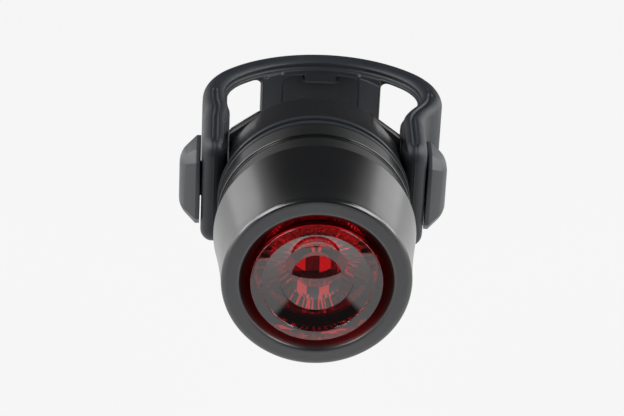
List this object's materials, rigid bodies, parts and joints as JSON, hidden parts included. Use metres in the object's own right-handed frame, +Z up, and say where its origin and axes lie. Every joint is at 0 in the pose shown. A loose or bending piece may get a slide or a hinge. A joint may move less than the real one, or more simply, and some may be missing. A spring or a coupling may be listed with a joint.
{
  "type": "bicycle rear light",
  "caption": "Round battery rear light with a red push lens, a screw-off metal head and a rubber strap that hooks around a seatpost.",
  "frame": {"origin": "on the axis of the seatpost that the saddle holds, at the middle of the saddle's height", "axes": "+Z up along the seatpost, -Y towards the lens, +X to the right of someone who looks at the lens"},
  "size_m": [0.0384, 0.055, 0.0282],
  "materials": {
    "head_metal": "black anodised, satin",
    "seal_rubber": "matt",
    "lens_red": "clear red, polished",
    "inner_plastic": "moulded",
    "plunger_plastic": "moulded",
    "board_laminate": "white solder mask",
    "led_white": "moulded",
    "led_resin": "clear resin",
    "chip_black": "moulded",
    "chip_tan": "fired",
    "steel": "plated",
    "cell_steel": "plated",
    "contact_brass": "plated",
    "base_plastic": "moulded black, satin",
    "pad_rubber": "matt",
    "strap_rubber": "moulded silicone, smooth"
  },
  "bodies": {
    "base": {"base_body": "base_plastic", "saddle_pad": "pad_rubber", "o_ring": "seal_rubber", "return_spring": "steel"},
    "strap": {"strap": "strap_rubber"},
    "module": {"battery_tray": "inner_plastic", "cell_front": "cell_steel", "cell_rear": "cell_steel", "front_contact": "contact_brass", "rear_contact": "contact_brass", "led_board": "board_laminate", "led_package": "led_white", "led_dome": "led_resin", "switch_bodies": "inner_plastic", "driver_chip": "chip_black", "board_chips": "chip_tan", "board_screws": "steel"},
    "head": {"head_barrel": "head_metal", "lens_seal": "seal_rubber"},
    "lens": {"lens": "lens_red", "lens_holder": "inner_plastic", "switch_plungers": "plunger_plastic"}
  },
  "joints": [
    {"name": "strap_swing", "type": "hinge", "parent": "base", "child": "strap", "pos_m": [0, -0.0108, 0], "axis": [1, 0, 0], "range_deg": [-8, 8]},
    {"name": "module_rise", "type": "slide", "parent": "base", "child": "module", "axis": [0, -1, 0], "range_m": [0, 0.00375], "deforming": ["return_spring"]},
    {"name": "head_twist", "type": "hinge", "parent": "module", "child": "head", "pos_m": [0, -0.03, 0], "axis": [0, -1, 0], "range_deg": [0, 1080]},
    {"name": "lens_press", "type": "slide", "parent": "module", "child": "lens", "axis": [0, 1, 0], "range_m": [0, 0.0006], "stiffness_N_per_m": 1800, "springref_m": -0.0003}
  ],
  "couplings": [
    {"joint": "head_twist", "follows": "module_rise", "rad_per_m": 5026.5}
  ]
}
